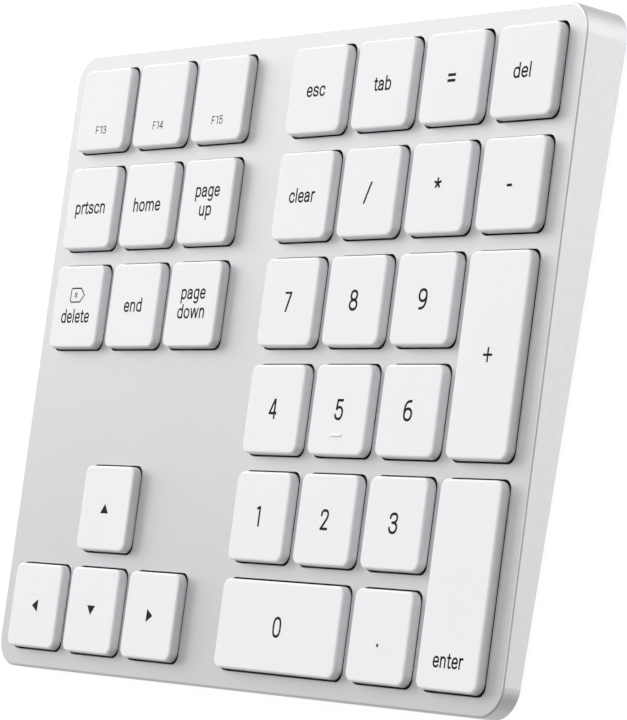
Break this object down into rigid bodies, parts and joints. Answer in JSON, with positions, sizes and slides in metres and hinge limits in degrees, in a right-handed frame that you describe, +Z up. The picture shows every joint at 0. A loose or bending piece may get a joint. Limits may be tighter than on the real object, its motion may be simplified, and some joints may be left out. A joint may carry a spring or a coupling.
{
  "type": "numeric keypad",
  "caption": "Slim wedge-shaped wireless numeric keypad: aluminium case, white low-profile scissor keys for numbers, editing and arrows, rear charging port and power switch.",
  "frame": {"origin": "on the table, under the centre of the bounding box", "axes": "+X to the user's right, +Y to the rear edge with the port, +Z up from the table; the key field tilts down 2.7 degrees towards the front"},
  "size_m": [0.1498, 0.1182, 0.0115],
  "materials": {
    "anodised_case": "fine bead-blasted silver anodising",
    "key_plastic": "matte white moulded plastic",
    "cover_plastic": "fine matte moulded plastic, light grey",
    "plate_steel": "zinc-plated stamped sheet",
    "membrane_film": "black printed polyester film",
    "membrane_clear": "clear polyester film with printed traces",
    "dome_rubber": "silicone rubber",
    "scissor_plastic": "moulded acetal",
    "spring_wire": "drawn spring steel wire",
    "circuit_board": "solder-masked glass laminate",
    "shield_metal": "tinned shield can",
    "battery_foil": "laminated pouch foil",
    "lead_insulation": "stranded wire insulation",
    "port_steel": "plated steel port shell",
    "black_plastic": "black moulded plastic",
    "light_pipe_plastic": "translucent acrylic",
    "foot_rubber": "soft grey rubber",
    "screw_steel": "black-zinc machine screws"
  },
  "bodies": {
    "housing": {"top_case": "anodised_case", "bottom_cover": "cover_plastic", "support_plate": "plate_steel", "membrane_top_layer": "membrane_film", "membrane_spacer_layer": "membrane_clear", "membrane_bottom_layer": "membrane_clear", "rubber_domes": "dome_rubber", "scissor_outer_frames": "scissor_plastic", "scissor_inner_frames": "scissor_plastic", "control_board": "circuit_board", "wireless_module": "shield_metal", "battery_pack": "battery_foil", "battery_leads": "lead_insulation", "usb_c_shell": "port_steel", "usb_c_tongue": "black_plastic", "power_switch_body": "black_plastic", "status_light_pipe": "light_pipe_plastic", "membrane_connector": "black_plastic", "rubber_feet": "foot_rubber", "case_screws": "screw_steel", "plate_screws": "screw_steel", "board_screws": "screw_steel"},
    "key_f13": {"key_f13": "key_plastic"},
    "key_f14": {"key_f14": "key_plastic"},
    "key_f15": {"key_f15": "key_plastic"},
    "key_escape": {"key_escape": "key_plastic"},
    "key_tab": {"key_tab": "key_plastic"},
    "key_equals": {"key_equals": "key_plastic"},
    "key_backspace": {"key_backspace": "key_plastic"},
    "key_print_screen": {"key_print_screen": "key_plastic"},
    "key_home": {"key_home": "key_plastic"},
    "key_page_up": {"key_page_up": "key_plastic"},
    "key_clear": {"key_clear": "key_plastic"},
    "key_divide": {"key_divide": "key_plastic"},
    "key_multiply": {"key_multiply": "key_plastic"},
    "key_minus": {"key_minus": "key_plastic"},
    "key_forward_delete": {"key_forward_delete": "key_plastic"},
    "key_end": {"key_end": "key_plastic"},
    "key_page_down": {"key_page_down": "key_plastic"},
    "key_7": {"key_7": "key_plastic"},
    "key_8": {"key_8": "key_plastic"},
    "key_9": {"key_9": "key_plastic"},
    "key_plus": {"key_plus": "key_plastic"},
    "key_4": {"key_4": "key_plastic"},
    "key_5": {"key_5": "key_plastic"},
    "key_6": {"key_6": "key_plastic"},
    "key_arrow_up": {"key_arrow_up": "key_plastic"},
    "key_1": {"key_1": "key_plastic"},
    "key_2": {"key_2": "key_plastic"},
    "key_3": {"key_3": "key_plastic"},
    "key_enter": {"key_enter": "key_plastic"},
    "key_arrow_left": {"key_arrow_left": "key_plastic"},
    "key_arrow_down": {"key_arrow_down": "key_plastic"},
    "key_arrow_right": {"key_arrow_right": "key_plastic"},
    "key_0": {"key_0": "key_plastic"},
    "key_decimal": {"key_decimal": "key_plastic"},
    "stabiliser_wire_0": {"stabiliser_wire_0": "spring_wire"},
    "stabiliser_wire_plus": {"stabiliser_wire_plus": "spring_wire"},
    "stabiliser_wire_enter": {"stabiliser_wire_enter": "spring_wire"},
    "power_switch": {"power_switch_knob": "black_plastic"}
  },
  "joints": [
    {"name": "key_f13_press", "type": "slide", "parent": "housing", "child": "key_f13", "axis": [0, 0.0471, -0.9989], "range_m": [0, 0.0012], "stiffness_N_per_m": 250, "springref_m": -0.0012, "deforming": ["rubber_domes", "scissor_outer_frames", "scissor_inner_frames"]},
    {"name": "key_f14_press", "type": "slide", "parent": "housing", "child": "key_f14", "axis": [0, 0.0471, -0.9989], "range_m": [0, 0.0012], "stiffness_N_per_m": 250, "springref_m": -0.0012, "deforming": ["rubber_domes", "scissor_outer_frames", "scissor_inner_frames"]},
    {"name": "key_f15_press", "type": "slide", "parent": "housing", "child": "key_f15", "axis": [0, 0.0471, -0.9989], "range_m": [0, 0.0012], "stiffness_N_per_m": 250, "springref_m": -0.0012, "deforming": ["rubber_domes", "scissor_outer_frames", "scissor_inner_frames"]},
    {"name": "key_escape_press", "type": "slide", "parent": "housing", "child": "key_escape", "axis": [0, 0.0471, -0.9989], "range_m": [0, 0.0012], "stiffness_N_per_m": 250, "springref_m": -0.0012, "deforming": ["rubber_domes", "scissor_outer_frames", "scissor_inner_frames"]},
    {"name": "key_tab_press", "type": "slide", "parent": "housing", "child": "key_tab", "axis": [0, 0.0471, -0.9989], "range_m": [0, 0.0012], "stiffness_N_per_m": 250, "springref_m": -0.0012, "deforming": ["rubber_domes", "scissor_outer_frames", "scissor_inner_frames"]},
    {"name": "key_equals_press", "type": "slide", "parent": "housing", "child": "key_equals", "axis": [0, 0.0471, -0.9989], "range_m": [0, 0.0012], "stiffness_N_per_m": 250, "springref_m": -0.0012, "deforming": ["rubber_domes", "scissor_outer_frames", "scissor_inner_frames"]},
    {"name": "key_backspace_press", "type": "slide", "parent": "housing", "child": "key_backspace", "axis": [0, 0.0471, -0.9989], "range_m": [0, 0.0012], "stiffness_N_per_m": 250, "springref_m": -0.0012, "deforming": ["rubber_domes", "scissor_outer_frames", "scissor_inner_frames"]},
    {"name": "key_print_screen_press", "type": "slide", "parent": "housing", "child": "key_print_screen", "axis": [0, 0.0471, -0.9989], "range_m": [0, 0.0012], "stiffness_N_per_m": 250, "springref_m": -0.0012, "deforming": ["rubber_domes", "scissor_outer_frames", "scissor_inner_frames"]},
    {"name": "key_home_press", "type": "slide", "parent": "housing", "child": "key_home", "axis": [0, 0.0471, -0.9989], "range_m": [0, 0.0012], "stiffness_N_per_m": 250, "springref_m": -0.0012, "deforming": ["rubber_domes", "scissor_outer_frames", "scissor_inner_frames"]},
    {"name": "key_page_up_press", "type": "slide", "parent": "housing", "child": "key_page_up", "axis": [0, 0.0471, -0.9989], "range_m": [0, 0.0012], "stiffness_N_per_m": 250, "springref_m": -0.0012, "deforming": ["rubber_domes", "scissor_outer_frames", "scissor_inner_frames"]},
    {"name": "key_clear_press", "type": "slide", "parent": "housing", "child": "key_clear", "axis": [0, 0.0471, -0.9989], "range_m": [0, 0.0012], "stiffness_N_per_m": 250, "springref_m": -0.0012, "deforming": ["rubber_domes", "scissor_outer_frames", "scissor_inner_frames"]},
    {"name": "key_divide_press", "type": "slide", "parent": "housing", "child": "key_divide", "axis": [0, 0.0471, -0.9989], "range_m": [0, 0.0012], "stiffness_N_per_m": 250, "springref_m": -0.0012, "deforming": ["rubber_domes", "scissor_outer_frames", "scissor_inner_frames"]},
    {"name": "key_multiply_press", "type": "slide", "parent": "housing", "child": "key_multiply", "axis": [0, 0.0471, -0.9989], "range_m": [0, 0.0012], "stiffness_N_per_m": 250, "springref_m": -0.0012, "deforming": ["rubber_domes", "scissor_outer_frames", "scissor_inner_frames"]},
    {"name": "key_minus_press", "type": "slide", "parent": "housing", "child": "key_minus", "axis": [0, 0.0471, -0.9989], "range_m": [0, 0.0012], "stiffness_N_per_m": 250, "springref_m": -0.0012, "deforming": ["rubber_domes", "scissor_outer_frames", "scissor_inner_frames"]},
    {"name": "key_forward_delete_press", "type": "slide", "parent": "housing", "child": "key_forward_delete", "axis": [0, 0.0471, -0.9989], "range_m": [0, 0.0012], "stiffness_N_per_m": 250, "springref_m": -0.0012, "deforming": ["rubber_domes", "scissor_outer_frames", "scissor_inner_frames"]},
    {"name": "key_end_press", "type": "slide", "parent": "housing", "child": "key_end", "axis": [0, 0.0471, -0.9989], "range_m": [0, 0.0012], "stiffness_N_per_m": 250, "springref_m": -0.0012, "deforming": ["rubber_domes", "scissor_outer_frames", "scissor_inner_frames"]},
    {"name": "key_page_down_press", "type": "slide", "parent": "housing", "child": "key_page_down", "axis": [0, 0.0471, -0.9989], "range_m": [0, 0.0012], "stiffness_N_per_m": 250, "springref_m": -0.0012, "deforming": ["rubber_domes", "scissor_outer_frames", "scissor_inner_frames"]},
    {"name": "key_7_press", "type": "slide", "parent": "housing", "child": "key_7", "axis": [0, 0.0471, -0.9989], "range_m": [0, 0.0012], "stiffness_N_per_m": 250, "springref_m": -0.0012, "deforming": ["rubber_domes", "scissor_outer_frames", "scissor_inner_frames"]},
    {"name": "key_8_press", "type": "slide", "parent": "housing", "child": "key_8", "axis": [0, 0.0471, -0.9989], "range_m": [0, 0.0012], "stiffness_N_per_m": 250, "springref_m": -0.0012, "deforming": ["rubber_domes", "scissor_outer_frames", "scissor_inner_frames"]},
    {"name": "key_9_press", "type": "slide", "parent": "housing", "child": "key_9", "axis": [0, 0.0471, -0.9989], "range_m": [0, 0.0012], "stiffness_N_per_m": 250, "springref_m": -0.0012, "deforming": ["rubber_domes", "scissor_outer_frames", "scissor_inner_frames"]},
    {"name": "key_plus_press", "type": "slide", "parent": "housing", "child": "key_plus", "axis": [0, 0.0471, -0.9989], "range_m": [0, 0.0012], "stiffness_N_per_m": 300, "springref_m": -0.0012, "deforming": ["rubber_domes", "scissor_outer_frames", "scissor_inner_frames"]},
    {"name": "key_4_press", "type": "slide", "parent": "housing", "child": "key_4", "axis": [0, 0.0471, -0.9989], "range_m": [0, 0.0012], "stiffness_N_per_m": 250, "springref_m": -0.0012, "deforming": ["rubber_domes", "scissor_outer_frames", "scissor_inner_frames"]},
    {"name": "key_5_press", "type": "slide", "parent": "housing", "child": "key_5", "axis": [0, 0.0471, -0.9989], "range_m": [0, 0.0012], "stiffness_N_per_m": 250, "springref_m": -0.0012, "deforming": ["rubber_domes", "scissor_outer_frames", "scissor_inner_frames"]},
    {"name": "key_6_press", "type": "slide", "parent": "housing", "child": "key_6", "axis": [0, 0.0471, -0.9989], "range_m": [0, 0.0012], "stiffness_N_per_m": 250, "springref_m": -0.0012, "deforming": ["rubber_domes", "scissor_outer_frames", "scissor_inner_frames"]},
    {"name": "key_arrow_up_press", "type": "slide", "parent": "housing", "child": "key_arrow_up", "axis": [0, 0.0471, -0.9989], "range_m": [0, 0.0012], "stiffness_N_per_m": 250, "springref_m": -0.0012, "deforming": ["rubber_domes", "scissor_outer_frames", "scissor_inner_frames"]},
    {"name": "key_1_press", "type": "slide", "parent": "housing", "child": "key_1", "axis": [0, 0.0471, -0.9989], "range_m": [0, 0.0012], "stiffness_N_per_m": 250, "springref_m": -0.0012, "deforming": ["rubber_domes", "scissor_outer_frames", "scissor_inner_frames"]},
    {"name": "key_2_press", "type": "slide", "parent": "housing", "child": "key_2", "axis": [0, 0.0471, -0.9989], "range_m": [0, 0.0012], "stiffness_N_per_m": 250, "springref_m": -0.0012, "deforming": ["rubber_domes", "scissor_outer_frames", "scissor_inner_frames"]},
    {"name": "key_3_press", "type": "slide", "parent": "housing", "child": "key_3", "axis": [0, 0.0471, -0.9989], "range_m": [0, 0.0012], "stiffness_N_per_m": 250, "springref_m": -0.0012, "deforming": ["rubber_domes", "scissor_outer_frames", "scissor_inner_frames"]},
    {"name": "key_enter_press", "type": "slide", "parent": "housing", "child": "key_enter", "axis": [0, 0.0471, -0.9989], "range_m": [0, 0.0012], "stiffness_N_per_m": 300, "springref_m": -0.0012, "deforming": ["rubber_domes", "scissor_outer_frames", "scissor_inner_frames"]},
    {"name": "key_arrow_left_press", "type": "slide", "parent": "housing", "child": "key_arrow_left", "axis": [0, 0.0471, -0.9989], "range_m": [0, 0.0012], "stiffness_N_per_m": 250, "springref_m": -0.0012, "deforming": ["rubber_domes", "scissor_outer_frames", "scissor_inner_frames"]},
    {"name": "key_arrow_down_press", "type": "slide", "parent": "housing", "child": "key_arrow_down", "axis": [0, 0.0471, -0.9989], "range_m": [0, 0.0012], "stiffness_N_per_m": 250, "springref_m": -0.0012, "deforming": ["rubber_domes", "scissor_outer_frames", "scissor_inner_frames"]},
    {"name": "key_arrow_right_press", "type": "slide", "parent": "housing", "child": "key_arrow_right", "axis": [0, 0.0471, -0.9989], "range_m": [0, 0.0012], "stiffness_N_per_m": 250, "springref_m": -0.0012, "deforming": ["rubber_domes", "scissor_outer_frames", "scissor_inner_frames"]},
    {"name": "key_0_press", "type": "slide", "parent": "housing", "child": "key_0", "axis": [0, 0.0471, -0.9989], "range_m": [0, 0.0012], "stiffness_N_per_m": 300, "springref_m": -0.0012, "deforming": ["rubber_domes", "scissor_outer_frames", "scissor_inner_frames"]},
    {"name": "key_decimal_press", "type": "slide", "parent": "housing", "child": "key_decimal", "axis": [0, 0.0471, -0.9989], "range_m": [0, 0.0012], "stiffness_N_per_m": 250, "springref_m": -0.0012, "deforming": ["rubber_domes", "scissor_outer_frames", "scissor_inner_frames"]},
    {"name": "stabiliser_wire_0_swing", "type": "hinge", "parent": "housing", "child": "stabiliser_wire_0", "pos_m": [0.01479, -0.0486, 0.00346], "axis": [-1, 0, 0], "range_deg": [0, 9.8]},
    {"name": "stabiliser_wire_plus_swing", "type": "hinge", "parent": "housing", "child": "stabiliser_wire_plus", "pos_m": [0.06339, -0.00005, 0.00575], "axis": [0, -0.9989, -0.0471], "range_deg": [0, 9.8]},
    {"name": "stabiliser_wire_enter_swing", "type": "hinge", "parent": "housing", "child": "stabiliser_wire_enter", "pos_m": [0.06339, -0.03801, 0.00396], "axis": [0, -0.9989, -0.0471], "range_deg": [0, 9.8]},
    {"name": "power_switch_slide", "type": "slide", "parent": "housing", "child": "power_switch", "axis": [1, 0, 0], "range_m": [0, 0.0024]}
  ],
  "couplings": [
    {"joint": "stabiliser_wire_0_swing", "follows": "key_0_press", "rad_per_m": 140.65},
    {"joint": "stabiliser_wire_plus_swing", "follows": "key_plus_press", "rad_per_m": 140.65},
    {"joint": "stabiliser_wire_enter_swing", "follows": "key_enter_press", "rad_per_m": 140.65}
  ]
}
